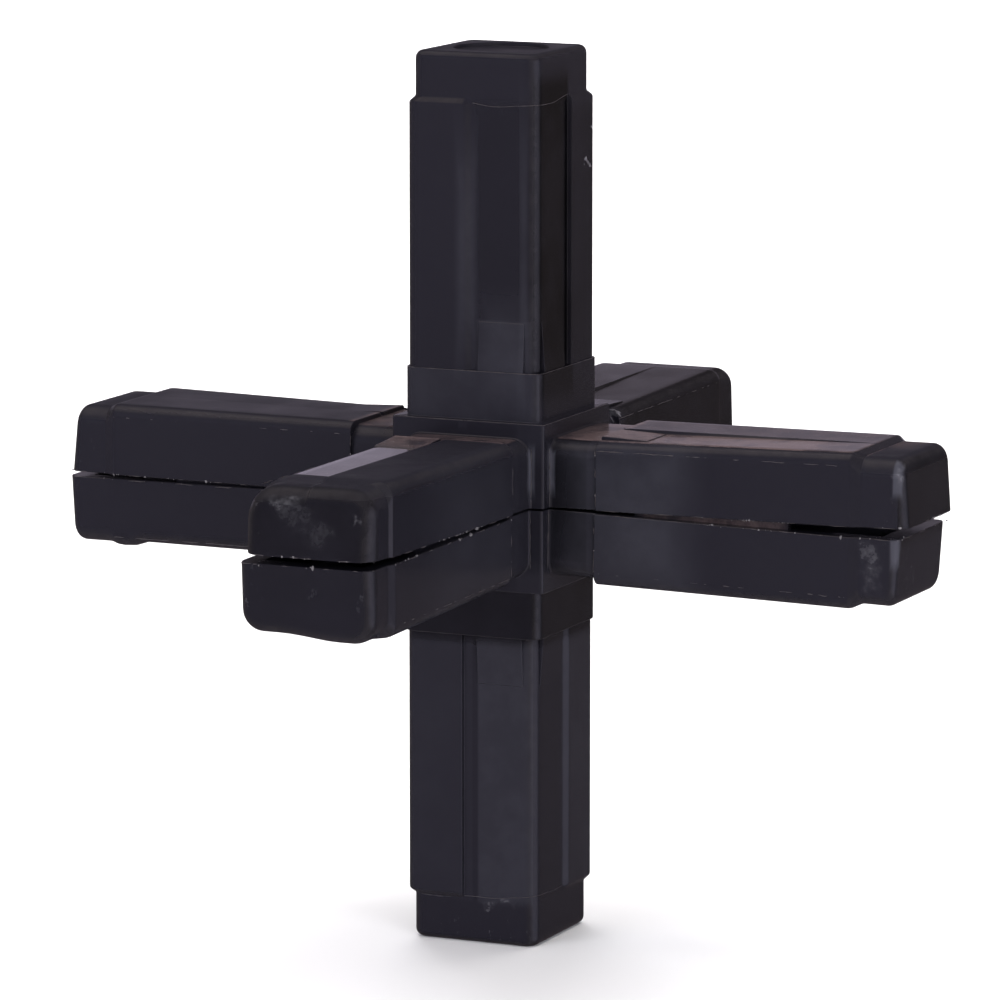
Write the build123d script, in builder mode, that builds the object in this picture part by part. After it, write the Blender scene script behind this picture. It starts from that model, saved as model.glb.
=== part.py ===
from build123d import *
import os

# Six-way connector for square tube, moulded as two like halves that meet at mid height.
# Millimetres, +Z up, origin at the middle of the hub. +X, -X, +Y and -Y are the split
# arms, +Z is the arm of the upper half and -Z the arm of the lower half.

# Tube that is pushed over each arm
tube_width = 25.0
tube_wall = 1.5
fit_clearance = 0.1

# Hub, flush with the outside of the tubes
hub_corner = 0.5
hub_edge = 0.25
hub_rise = 0.2
parting_gap = 0.3
halves_offset = 0.2

# Cross sections of the arms, measured from their middle
relief = 0.65
pad_corner = 1.9
post_corner = 2.4
arm_corner = 2.8
collar_step = 0.3
collar_edge = 0.2

# Upright post of each half, measured up from its parting face
collar_height = 7.35
post_pad_end = 59.9
post_chamfer = 1.0
post_end = 67.65
post_end_round = 1.2
dimple_diameter = 14.7
dimple_depth = 0.6

# Split arms, measured out from the middle of the hub
arm_pad_start = 20.2
arm_pad_end = 60.6
arm_chamfer = 1.8
arm_end = 68.2
arm_end_draft = 3.0
arm_end_round = 1.6
arm_root_overlap = 1.0
root_fillet = 0.6

# Sloping panel on each split arm, and the wedges that fill the panels beside the hub
panel_depth = 0.55
wedge_length = 7.4
wedge_lip = 0.12
wedge_start = 0.85
wedge_width = 7.5
wedge_root = 1.5

# Hollows, two side by side in each arm, open at the parting face and parted by a rib
outer_wall = 2.4
end_wall = 3.2
rib = 1.6
cell_draft = 0.5
arm_cell_start = 14.6

# Tongue on one wall of each split arm, and the rebate for the other half's tongue
tongue_start = 26.0
tongue_length = 24.6
tongue_height = 1.5
tongue_thickness = 1.25
tongue_setback = 1.7
tongue_clearance = 0.3

# How far each split arm leans away from the parting face, in degrees:
# one value for each heading, in the order +X, +Y, -X, -Y of the moulding
upper_leans = (0.45, 0.5, 0.2, 0.45)
lower_leans = (0.5, 0.95, 0.45, 0.25)

# Sizes that follow from the ones above
hub_half = tube_width / 2
hub_height = hub_half + hub_rise
collar_top = hub_height + collar_height
arm_start = hub_half - arm_root_overlap
pad_half = hub_half - tube_wall - fit_clearance
core_half = pad_half - relief
collar_half = pad_half + collar_step
cell_half = core_half - outer_wall
cell_width = cell_half - rib / 2
cell_offset = (cell_width + rib) / 2
arm_cell_length = arm_end - end_wall - arm_cell_start
wedge_end = arm_pad_start + wedge_length
panel_at_wedge_end = pad_half - panel_depth * (arm_pad_end - wedge_end) / (arm_pad_end - arm_pad_start)
tongue_middle = tongue_start + tongue_length / 2
tongue_outer = pad_half - tongue_setback

os.makedirs("parts", exist_ok=True)

# Split arm along +X, its parting face on the XY plane
with BuildPart() as arm_form:
    # Root and tip
    with BuildSketch(Plane.YZ.offset(arm_start)):
        with Locations((0, core_half / 2)):
            Rectangle(2 * core_half, core_half)
        fillet(vertices().group_by(Axis.Y)[-1], radius=arm_corner)
    extrude(amount=arm_end - arm_start)
    draft(faces().sort_by(Axis.X)[-1], neutral_plane=Plane.XY, angle=arm_end_draft)
    fillet(faces().sort_by(Axis.X)[-1].edges().sort_by(Axis.Z)[1:], radius=arm_end_round)

    # Pad at full height on the left, seen along the arm
    with BuildSketch(Plane.YZ.offset(arm_pad_start)):
        with Locations((pad_half / 2, pad_half / 2)):
            Rectangle(pad_half, pad_half)
        fillet(vertices().group_by(Axis.Y)[-1].sort_by(Axis.X)[-1], radius=pad_corner)
    extrude(amount=arm_pad_end - arm_pad_start)

    # Panel on the right, which rises from the root to the end of the pad
    for place, height in ((arm_pad_start, pad_half - panel_depth), (arm_pad_end, pad_half)):
        with BuildSketch(Plane.YZ.offset(place)):
            with Locations((-pad_half / 2, height / 2)):
                Rectangle(pad_half, height)
            fillet(vertices().group_by(Axis.Y)[-1].sort_by(Axis.X)[0], radius=pad_corner)
    loft()

    # Chamfered end of the pad and the panel
    for place, half_width in ((arm_pad_end, pad_half), (arm_pad_end + arm_chamfer, core_half)):
        with BuildSketch(Plane.YZ.offset(place)):
            with Locations((0, half_width / 2)):
                Rectangle(2 * half_width, half_width)
            fillet(vertices().group_by(Axis.Y)[-1], radius=pad_corner)
    loft()

    # Wedge on the panel, beside the root
    with BuildSketch(Plane.XZ.offset(wedge_start)):
        with BuildLine():
            Polyline(
                (arm_pad_start, pad_half - wedge_root),
                (arm_pad_start, pad_half),
                (wedge_end, panel_at_wedge_end + wedge_lip),
                (wedge_end + wedge_lip, pad_half - wedge_root),
                close=True,
            )
        make_face()
    extrude(amount=wedge_width)

    # Two long hollows
    with BuildSketch(Plane.XY):
        with Locations([(arm_cell_start + arm_cell_length / 2, side * cell_offset) for side in (-1, 1)]):
            Rectangle(arm_cell_length, cell_width)
    extrude(amount=cell_half, taper=cell_draft, mode=Mode.SUBTRACT)

    # Rebate for the other half's tongue on the right, own tongue on the left
    with BuildSketch(Plane.XY):
        with Locations((tongue_middle, tongue_thickness / 2 - tongue_outer)):
            Rectangle(tongue_length + 2 * tongue_clearance, tongue_thickness + 2 * tongue_clearance)
    extrude(amount=tongue_height + tongue_clearance, mode=Mode.SUBTRACT)
    with BuildSketch(Plane.XY.offset(-tongue_height)):
        with Locations((tongue_middle, tongue_outer - tongue_thickness / 2)):
            Rectangle(tongue_length, tongue_thickness)
    extrude(amount=2 * tongue_height)

# Upright post with its collar, standing on the parting face
with BuildPart() as post_form:
    # Core, which shows at the tip and in the two recessed quarters
    with BuildSketch(Plane.XY):
        RectangleRounded(2 * core_half, 2 * core_half, post_corner)
    extrude(amount=post_end)
    fillet(faces().sort_by(Axis.Z)[-1].edges(), radius=post_end_round)

    # Collar
    with BuildSketch(Plane.XY.offset(hub_height - hub_edge)):
        RectangleRounded(2 * collar_half, 2 * collar_half, pad_corner)
    extrude(amount=collar_top - hub_height + hub_edge)
    chamfer(
        edges().filter_by_position(Axis.Z, collar_top - collar_edge, collar_top + collar_edge),
        length=collar_edge,
    )

    # Pad round the (-X, -Y) corner, with a chamfered end
    with BuildSketch(Plane.XY.offset(collar_top)):
        with Locations((-pad_half / 2, -pad_half / 2)):
            Rectangle(pad_half, pad_half)
        fillet(vertices().group_by(Axis.X)[0].sort_by(Axis.Y)[0], radius=pad_corner)
    extrude(amount=post_pad_end - collar_top)
    for place, width in ((post_pad_end, pad_half), (post_pad_end + post_chamfer, core_half)):
        with BuildSketch(Plane.XY.offset(place)):
            with Locations((-width / 2, -width / 2)):
                Rectangle(width, width)
            fillet(vertices().group_by(Axis.X)[0].sort_by(Axis.Y)[0], radius=pad_corner)
    loft()

    # Wedge in the recess of the -Y face, on the collar
    with BuildSketch(Plane.YZ.offset(wedge_start)):
        with BuildLine():
            Polyline(
                (wedge_root - pad_half, collar_top),
                (-pad_half, collar_top),
                (-core_half - wedge_lip, collar_top + wedge_length),
                (wedge_root - pad_half, collar_top + wedge_length + wedge_lip),
                close=True,
            )
        make_face()
    extrude(amount=wedge_width)

    # The same pad and wedges at the other corners
    mirror(about=Plane(origin=(0, 0, 0), z_dir=(1, 1, 0)))
    mirror(about=Plane(origin=(0, 0, 0), z_dir=(1, -1, 0)))

    # Round dimple in the end face
    with BuildSketch(Plane.XY.offset(post_end)):
        Circle(dimple_diameter / 2)
    extrude(amount=-dimple_depth, mode=Mode.SUBTRACT)

# The two halves: the lower one is turned over about the line X = Y
halves = (
    ("upper_half", upper_leans, Location((0, 0, 0))),
    ("lower_half", lower_leans, Location((-halves_offset, 0, 0)) * Location((0, 0, 0), (1, 1, 0), 180)),
)
for name, leans, place in halves:
    with BuildPart() as half:
        # Hub
        with BuildSketch(Plane.XY):
            RectangleRounded(2 * hub_half, 2 * hub_half, hub_corner)
        extrude(amount=hub_height)
        chamfer(faces().sort_by(Axis.Z)[-1].edges(), length=hub_edge)

        # Post and split arms
        add(post_form.part)
        for number, lean in enumerate(leans):
            turn = Location((0, 0, 0), (0, 0, 90 * number))
            hinge = Location((arm_start, 0, 0), (0, -lean, 0)) * Location((-arm_start, 0, 0))
            add(arm_form.part.moved(turn * hinge))
            # Fillets where the sides and the top of the arm leave the hub
            root_edges = edges(Select.NEW).filter_by(lambda edge: edge.center().Z > root_fillet)
            fillet(root_edges, radius=root_fillet)

        # Four deep hollows up the post
        with BuildSketch(Plane.XY):
            with GridLocations(2 * cell_offset, 2 * cell_offset, 2, 2):
                Rectangle(cell_width, cell_width)
        extrude(amount=post_end - end_wall, taper=cell_draft / 2, mode=Mode.SUBTRACT)

    half.part = half.part.moved(Location((0, 0, parting_gap / 2))).moved(place)
    half.part.label = name
    export_step(half.part, f"parts/{name}.step")
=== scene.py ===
"""Looks of a six-way connector for square tube, of black moulded plastic.

The connector is two like mouldings that meet at mid height. Each moulding is worked out
here as numpy surfaces in millimetres: a ringed surface for the hub and its upright post,
four ringed surfaces for the split arms, and small solids for the wedges and tongues. They
are joined to one closed shell, which stands for the CAD solid of the same form and has
the rounded edges that catch the light.
"""

import logging
import math
from dataclasses import dataclass, field, replace
from enum import Enum
from typing import Iterable, Optional, Sequence, Union

import bpy
import numpy as np
from mathutils import Matrix, Vector

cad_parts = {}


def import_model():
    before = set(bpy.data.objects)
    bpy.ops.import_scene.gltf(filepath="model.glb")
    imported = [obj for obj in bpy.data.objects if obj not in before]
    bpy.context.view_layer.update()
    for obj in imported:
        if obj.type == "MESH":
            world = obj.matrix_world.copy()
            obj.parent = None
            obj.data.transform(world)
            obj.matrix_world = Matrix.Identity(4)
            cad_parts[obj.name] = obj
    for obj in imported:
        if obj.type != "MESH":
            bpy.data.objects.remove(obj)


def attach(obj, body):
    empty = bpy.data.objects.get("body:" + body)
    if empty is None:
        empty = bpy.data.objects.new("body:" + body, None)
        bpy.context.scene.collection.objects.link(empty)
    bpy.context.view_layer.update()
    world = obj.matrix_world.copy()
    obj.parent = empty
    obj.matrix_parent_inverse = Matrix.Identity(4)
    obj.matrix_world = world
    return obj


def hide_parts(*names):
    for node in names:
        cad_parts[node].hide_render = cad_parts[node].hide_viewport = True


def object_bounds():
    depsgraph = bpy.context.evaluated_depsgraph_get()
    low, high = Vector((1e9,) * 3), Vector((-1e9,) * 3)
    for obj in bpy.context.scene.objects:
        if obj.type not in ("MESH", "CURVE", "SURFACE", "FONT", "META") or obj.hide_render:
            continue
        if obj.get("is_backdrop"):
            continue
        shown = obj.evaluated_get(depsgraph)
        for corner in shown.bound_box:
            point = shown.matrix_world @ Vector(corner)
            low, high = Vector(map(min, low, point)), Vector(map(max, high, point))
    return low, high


MM = 0.001
QUARTER = math.pi / 2
LOG = logging.getLogger("tube_connector")

# Points on a straight side of a split arm, on its corners and on the corners of a post
SIDE_POINTS, ARM_CORNER_POINTS, POST_CORNER_POINTS = 5, 8, 9

Pair = tuple[float, float]
Triple = tuple[float, float, float]
Four = tuple[float, float, float, float]
Socket = bpy.types.NodeSocket
Value = Union[Socket, float, Sequence[float]]


class Heading(Enum):
    """The split arms of a moulding, as quarter turns from its +X axis."""

    FIRST = 0
    SECOND = 1
    THIRD = 2
    FOURTH = 3


class Half(Enum):
    """The two mouldings, by the CAD node that each one stands for."""

    UPPER = "upper_half"
    LOWER = "lower_half"


class Join(Enum):
    """Ways to combine two closed solids."""

    ADD = "UNION"
    CUT = "DIFFERENCE"


@dataclass(frozen=True)
class Fit:
    """Sizes in millimetres that all arms of a moulding share.

    Attributes:
        hub_half: Half the width of the hub.
        hub_height: Height of the hub over the parting face.
        hub_corner: Radius of its upright corners.
        hub_edge: Radius of its upper edges.
        pad_half: Half the width across the pads.
        pad_corner: Corner radius of the pads.
        core_half: Half the width of the arms beside the pads.
        cell_half: Height of the hollows in a split arm.
        cell_width: Width of a hollow.
        cell_draft: Lean of the walls of a hollow, in degrees.
        rib: Thickness of the rib between two hollows.
        end_wall: Thickness of the wall at the end of an arm.
        wedge_length: Length of a wedge along the arm.
        wedge_lip: How far the thin end of a wedge stands out.
        wedge_start: How far a wedge is from the middle of its side.
        wedge_width: Width of a wedge.
        soft_edge: Radius of small outer edges.
        foot: Radius of small inner corners.
        sink: How deep joined solids go into each other.
    """

    hub_half: float = 12.5
    hub_height: float = 12.7
    hub_corner: float = 0.5
    hub_edge: float = 0.25
    pad_half: float = 10.9
    pad_corner: float = 1.9
    core_half: float = 10.25
    cell_half: float = 7.85
    cell_width: float = 7.05
    cell_draft: float = 0.5
    rib: float = 1.6
    end_wall: float = 3.2
    wedge_length: float = 7.4
    wedge_lip: float = 0.12
    wedge_start: float = 0.85
    wedge_width: float = 7.5
    soft_edge: float = 0.14
    foot: float = 0.1
    sink: float = 1.0

    @property
    def cell_offset(self) -> float:
        """How far the middle of a hollow is from the middle of its arm."""
        return (self.cell_width + self.rib) / 2


def ramp(value: np.ndarray, start: float, end: float) -> np.ndarray:
    """A straight slope from 0 at start to 1 at end, level beyond both."""
    return np.clip((value - start) / (end - start), 0.0, 1.0)


def smooth_step(value: np.ndarray, start: float, end: float) -> np.ndarray:
    """A step from 0 at start to 1 at end, with level ends: 3 t^2 - 2 t^3."""
    t = ramp(value, start, end)
    return t * t * (3.0 - 2.0 * t)


def carried(points: np.ndarray, matrix: np.ndarray) -> np.ndarray:
    """Points carried by a 4 by 4 matrix."""
    return points @ matrix[:3, :3].T + matrix[:3, 3]


def turn_matrix(angle: float, axis: str) -> np.ndarray:
    """A turn by an angle in degrees about a main axis, as a 4 by 4 array."""
    return np.array(Matrix.Rotation(math.radians(angle), 4, axis))


def shift_matrix(x: float = 0.0, z: float = 0.0) -> np.ndarray:
    """A shift in millimetres, as a 4 by 4 array."""
    return np.array(Matrix.Translation(Vector((x, 0.0, z))))


def linked(name: str, data: bpy.types.ID) -> bpy.types.Object:
    """A new object in the scene that shows some data."""
    made = bpy.data.objects.new(name, data)
    bpy.context.scene.collection.objects.link(made)
    return made


@dataclass
class Rows:
    """The cross sections of an arm, one row each: a place along it, then its sizes.

    All sizes of a row shrink or grow together where an edge is rounded off or a corner is
    filleted.

    Attributes:
        rows: The rows so far.
    """

    rows: list[np.ndarray] = field(default_factory=list)

    def at(self, place: float, section: np.ndarray) -> None:
        """Adds one cross section at a place along the arm."""
        self.rows.append(np.array([place, *section], float))

    def level(self, start: float, end: float, count: int, section: np.ndarray) -> None:
        """Adds like sections at even distances from start to end."""
        for place in np.linspace(start, end, count):
            self.at(place, section)

    def curve(self, face: float, section: np.ndarray, radius: float, count: int,
              after: bool, fillet: bool = False) -> None:
        """Rounds a section off at a shoulder, or fillets it to one, by a quarter circle.

        At the angle t the row is radius (1 - sin t) away from the shoulder, and its sizes
        have changed by radius (1 - cos t).

        Args:
            face: Place of the shoulder.
            section: Sizes of the section away from the shoulder.
            radius: Radius of the quarter circle.
            count: Its steps.
            after: Whether the section comes after the shoulder.
            fillet: Whether the section grows towards the shoulder and doesn't shrink.
        """
        turn = np.linspace(0.0, QUARTER, count + 1)
        side, growth = (1.0 if after else -1.0), (radius if fillet else -radius)
        for angle in turn[::-1] if after else turn:
            place = face + side * radius * (1.0 - np.sin(angle))
            self.at(place, section + growth * (1.0 - np.cos(angle)))

    def slope(self, start: float, length: float, ease: float, first: np.ndarray,
              last: np.ndarray) -> None:
        """Changes straight from one section to another, with both corners softened.

        Args:
            start: Where the slope starts.
            length: How long it is.
            ease: How far the softening reaches to each side of a corner.
            first: Sizes before the slope.
            last: Sizes after it.
        """
        # Share of the change at the start, the middle and the end of the softened part
        turn = np.array([0.0, 0.25, 1.0]) * ease / (2 * length)
        for corner, mix in ((start, turn), (start + length, 1.0 - turn[::-1])):
            for offset, part in zip((-ease, 0.0, ease), mix):
                self.at(corner + offset, first * (1 - part) + last * part)

    def table(self) -> np.ndarray:
        """All rows as one array, rows first."""
        return np.array(self.rows)


@dataclass(frozen=True)
class Shell:
    """A closed surface: points in millimetres, and faces as tuples of point numbers."""

    points: np.ndarray
    faces: list[tuple[int, ...]]

    @staticmethod
    def from_rings(rings: np.ndarray) -> "Shell":
        """A closed surface from closed rings of points, with a flat face at each end.

        Point (i, j) of the grid is point j of ring i, and each face joins neighbours of
        two rings. The faces are turned round where the volume, which is the sum of the
        triple products of their fans of triangles, would be negative.

        Args:
            rings: Points by ring and by place round the ring, shape (rings, points, 3).

        Returns:
            The surface, with its faces pointing outwards.
        """
        numbers = np.arange(rings.shape[0] * rings.shape[1]).reshape(rings.shape[:2])
        after = np.roll(numbers, -1, axis=1)
        quads = np.stack([numbers[:-1], after[:-1], after[1:], numbers[1:]], axis=-1).reshape(-1, 4)
        caps = np.stack([numbers[0, ::-1], numbers[-1]])
        points = rings.reshape(-1, 3)
        volume = 0.0
        for corners in (points[quads], points[caps]):
            fans = np.cross(corners[:, 1:-1], corners[:, 2:])
            volume += np.einsum("ijk,ik->", fans, corners[:, 0])
        faces = [tuple(face) for face in quads.tolist() + caps.tolist()]
        return Shell(points, faces if volume > 0 else [face[::-1] for face in faces])

    def moved(self, matrix: np.ndarray) -> "Shell":
        """The surface carried by a 4 by 4 matrix, with its faces still pointing outwards."""
        mirrors = np.linalg.det(matrix[:3, :3]) < 0
        faces = [face[::-1] for face in self.faces] if mirrors else self.faces
        return Shell(carried(self.points, matrix), faces)

    @staticmethod
    def together(shells: Iterable["Shell"]) -> "Shell":
        """Several surfaces that stay apart, as one list of points and faces.

        Args:
            shells: The surfaces.

        Returns:
            All of them as one.
        """
        points: list[np.ndarray] = []
        faces: list[tuple[int, ...]] = []
        offset = 0
        for shell in shells:
            points.append(shell.points)
            faces.extend(tuple(number + offset for number in face) for face in shell.faces)
            offset += len(shell.points)
        return Shell(np.concatenate(points), faces)

    def to_object(self, name: str) -> bpy.types.Object:
        """A mesh object of the surface, in metres, with its object at the origin."""
        mesh = bpy.data.meshes.new(name)
        mesh.from_pydata((self.points * MM).tolist(), [], self.faces)
        mesh.update()
        return linked(name, mesh)


def frustum(centre: Pair, half: Pair, low: float, high: float,
            draft: float) -> Shell:
    """A four-sided block whose sides lean inwards towards its top.

    Args:
        centre: Middle of the block, along X and Y.
        half: Half its width at height 0, along X and Y.
        low: Height of its underside.
        high: Height of its top.
        draft: Lean of its sides, in degrees.

    Returns:
        The closed block.
    """
    lean = math.tan(math.radians(draft))
    corners = np.array([(-1, -1), (1, -1), (1, 1), (-1, 1)], float)
    return Shell.from_rings(np.array([
        np.column_stack([centre + corners * (np.array(half) - lean * height), np.full(4, height)])
        for height in (low, high)
    ]))


def bar(profile: Sequence[Pair], near: float, far: float, low: float,
        edge: float) -> Shell:
    """A bar along X with a flat top and rounded top edges.

    The section is a rectangle whose two top corners are quarter circles.

    Args:
        profile: Places along X, each with the height of the top there.
        near: The near side of the bar.
        far: Its far side.
        low: Its underside.
        edge: Radius of the top edges.

    Returns:
        The closed bar.
    """
    turn = np.linspace(0.0, QUARTER, 4)
    across = np.concatenate([
        [far], far - edge + edge * np.cos(turn), near + edge - edge * np.sin(turn), [near],
    ])
    rings = []
    for place, top in profile:
        rounded = (top - edge + edge * np.sin(turn), top - edge + edge * np.cos(turn))
        upward = np.concatenate([[low], *rounded, [low]])
        rings.append(np.column_stack([np.full(len(across), place), across, upward]))
    return Shell.from_rings(np.array(rings))


@dataclass(frozen=True)
class Side:
    """One side of an arm's cross section: half its width, its height and its corner radius."""

    out: float
    up: float
    corner: float


@dataclass(frozen=True)
class SplitArm:
    """Half of a split arm along +X, with its parting face on the XY plane.

    The left side of its top, seen outwards, is a pad at full height. The right side is a
    panel that slopes up from the root to the end of the pad, with a wedge beside the root.
    The arms of the real mouldings differ a little, so each panel and each tip has its own
    sides. Places are measured out from the middle of the hub.

    Attributes:
        fit: Sizes that all arms share.
        core: Either side of the root, below the level of the pad.
        pad: The left side along the pad.
        panel_near: The right side at the start of the pad.
        panel_far: The right side at the end of the pad.
        tip_left: The left side of the tip.
        tip_right: The right side of the tip.
        lug: How far the panel bulges just before its end.
        lug_place: How far before the end of the pad the bulge is.
        lug_reach: How far it reaches to each side.
        root_fillet: Radius of the fillet at the hub.
        root_end: Place of the last plain section of the root.
        pad_start: Where the pad starts.
        pad_end: Where it ends.
        pad_rows: Number of sections along it.
        chamfer: Length of the slope from the pad and the panel to the tip.
        chamfer_ease: How far the corners of that slope are softened.
        end: Where the tip ends.
        end_draft: Lean of its end face, in degrees.
        end_round: Radius of the edges of the end face.
        cell_start: Where the hollows start.
        tongue_start: Where the tongue starts.
        tongue_length: Its length.
        tongue_height: How far it stands out of the parting face.
        tongue_thickness: Its thickness.
        tongue_setback: How far it is inside the side of the pad.
        tongue_edge: Radius of its edges.
        tongue_clearance: Room round it in the rebate.
        parting_edge: Width of the bevel of the parting face.
        half_columns: Places of the points on the top, from its middle to one side.
        step_width: Width of the step between the panel and the pad.
    """

    fit: Fit = Fit()
    core: Side = Side(10.25, 10.25, 2.8)
    pad: Side = Side(10.9, 10.9, 1.9)
    panel_near: Side = Side(10.9, 10.35, 1.9)
    panel_far: Side = Side(10.9, 10.9, 1.9)
    tip_left: Side = Side(10.25, 10.25, 2.8)
    tip_right: Side = Side(10.25, 10.25, 2.8)
    lug: float = 0.0
    lug_place: float = 1.2
    lug_reach: float = 2.2
    root_fillet: float = 0.6
    root_end: float = 18.0
    pad_start: float = 20.2
    pad_end: float = 60.6
    pad_rows: int = 20
    chamfer: float = 1.8
    chamfer_ease: float = 0.3
    end: float = 68.2
    end_draft: float = 3.0
    end_round: float = 1.6
    cell_start: float = 14.6
    tongue_start: float = 26.0
    tongue_length: float = 24.6
    tongue_height: float = 1.5
    tongue_thickness: float = 1.25
    tongue_setback: float = 1.7
    tongue_edge: float = 0.2
    tongue_clearance: float = 0.3
    parting_edge: float = 0.12
    half_columns: tuple[float, ...] = (0.04, 0.12, 0.5, 2.0, 4.0, 6.0, 8.0)
    step_width: float = 0.24

    @property
    def start(self) -> float:
        """Where the arm starts, inside the hub."""
        return self.fit.hub_half - self.fit.sink

    @staticmethod
    def section(left: Side, right: Side) -> np.ndarray:
        """A cross section as one row: the three sizes of the left side, then of the right."""
        return np.array([left.out, left.up, left.corner, right.out, right.up, right.corner])

    def pad_row(self, place: float) -> np.ndarray:
        """The cross section at a place along the pad: the panel changes in a straight line.

        The bulge is added to the panel's height as exp(-t^4), t its distance over its reach.

        Args:
            place: The place, in millimetres.

        Returns:
            The row of its six sizes.
        """
        share = float(ramp(np.array(place), self.pad_start, self.pad_end))
        near, far = (self.section(self.pad, panel) for panel in (self.panel_near, self.panel_far))
        row = near + (far - near) * share
        distance = self.pad_end - self.lug_place - place
        row[4] += self.lug * math.exp(-(distance / self.lug_reach) ** 4)
        return row

    def rows(self) -> np.ndarray:
        """Cross sections from inside the hub to the end face of the tip."""
        fit, core = self.fit, self.section(self.core, self.core)
        tip = self.section(self.tip_left, self.tip_right)
        body = Rows()
        body.at(self.start, core + self.root_fillet)
        body.curve(fit.hub_half - fit.foot / 4, core, self.root_fillet, 6, after=True, fillet=True)
        body.level(fit.hub_half + 2 * self.root_fillet, self.root_end, 2, core)
        body.curve(self.pad_start, core, fit.foot, 3, after=False, fillet=True)
        body.curve(self.pad_start, self.pad_row(self.pad_start), fit.soft_edge, 4, after=True)
        first, last = self.pad_start + fit.sink, self.pad_end - 2 * self.chamfer_ease
        for place in np.linspace(first, last, self.pad_rows):
            body.at(place, self.pad_row(place))
        body.slope(self.pad_end, self.chamfer, self.chamfer_ease, self.pad_row(self.pad_end), tip)
        body.at(self.end - self.end_round - fit.sink, tip)
        body.curve(self.end, tip, self.end_round, 8, after=False)
        return body.table()

    def outlines(self, rows: np.ndarray) -> np.ndarray:
        """Closed sections: up the right side, over the top, down the left side and back.

        Corners are quarter circles. The top is level on each side of the middle, with a
        smooth step between the panel and the pad.

        Args:
            rows: Place, then width, height and corner radius of the left and right sides.

        Returns:
            Points by row and by place round the section.
        """
        place, out_l, up_l, corner_l, out_r, up_r, corner_r = (
            column[:, None] for column in rows.T
        )
        share = np.linspace(0.0, 1.0, SIDE_POINTS)[None, :]
        turn = np.linspace(0.0, QUARTER, ARM_CORNER_POINTS)[None, :]
        rise, fall, bottom = share[:, :-1], share[:, 1:], share[:, ::-1]
        cos, sin, edge = 1 - np.cos(turn), 1 - np.sin(turn), self.parting_edge
        columns = np.array(self.half_columns)
        flat = np.concatenate([-columns[::-1], columns])[None, :]
        stretch = np.where(flat < 0, out_r - corner_r, out_l - corner_l)
        across = np.concatenate([
            -out_r + 0 * rise,
            -out_r + corner_r * cos,
            flat / (self.fit.pad_half - self.fit.pad_corner) * stretch,
            out_l - corner_l * sin,
            out_l + 0 * fall,
            (out_l - edge) * bottom - (out_r - edge) * (1 - bottom),
        ], axis=1)
        step = smooth_step(flat, -self.step_width / 2, self.step_width / 2)
        upward = np.concatenate([
            edge + (up_r - corner_r - edge) * rise,
            up_r - corner_r * sin,
            up_r + (up_l - up_r) * step,
            up_l - corner_l * cos,
            up_l - corner_l - (up_l - corner_l - edge) * fall,
            0 * out_l * bottom,
        ], axis=1)
        lean = math.tan(math.radians(self.end_draft))
        shear = lean * ramp(place, self.pad_end + self.chamfer, self.end)
        return np.stack([place - shear * upward, across, upward], axis=-1)

    def body(self) -> Shell:
        """The arm without its wedge, tongue and hollows."""
        return Shell.from_rings(self.outlines(self.rows()))

    def wedge(self) -> Shell:
        """The wedge on the panel: its top falls straight from the pad's height at the root."""
        fit, end = self.fit, self.pad_start + self.fit.wedge_length
        low = fit.pad_half - 2 * fit.sink
        tip = float(self.pad_row(end)[4]) + fit.wedge_lip
        profile = (
            (self.pad_start, fit.pad_half - fit.soft_edge),
            (self.pad_start + fit.soft_edge, fit.pad_half),
            (end - fit.wedge_lip, tip),
            (end, tip - fit.wedge_lip),
            (end + fit.foot, low + fit.sink),
        )
        near = -fit.wedge_start - fit.wedge_width
        return bar(profile, near, -fit.wedge_start, low, fit.soft_edge)

    def tongue(self) -> Shell:
        """The tongue that stands below the parting face, inside the left wall."""
        outer = self.fit.pad_half - self.tongue_setback
        start, end = self.tongue_start, self.tongue_start + self.tongue_length
        high, edge = self.tongue_height, self.tongue_edge
        profile = (start, high - edge), (start + edge, high), (end - edge, high), (end, high - edge)
        upside_down = bar(profile, -outer, self.tongue_thickness - outer, -high, edge)
        return upside_down.moved(turn_matrix(180.0, "X"))

    def cells(self) -> list[Shell]:
        """Two long tapered hollows side by side, open at the parting face."""
        fit = self.fit
        length = self.end - fit.end_wall - self.cell_start
        middle, half = self.cell_start + length / 2, (length / 2, fit.cell_width / 2)
        return [
            frustum((middle, across), half, -fit.sink, fit.cell_half, fit.cell_draft)
            for across in (-fit.cell_offset, fit.cell_offset)
        ]

    def rebate(self) -> Shell:
        """The slot in the right wall that the other half's tongue goes into."""
        middle = self.tongue_start + self.tongue_length / 2
        across = -(self.fit.pad_half - self.tongue_setback - self.tongue_thickness / 2)
        room = self.tongue_clearance
        half = (self.tongue_length / 2 + room, self.tongue_thickness / 2 + room)
        return frustum((middle, across), half, -2 * self.fit.sink, self.tongue_height + room, 0.0)


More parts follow.
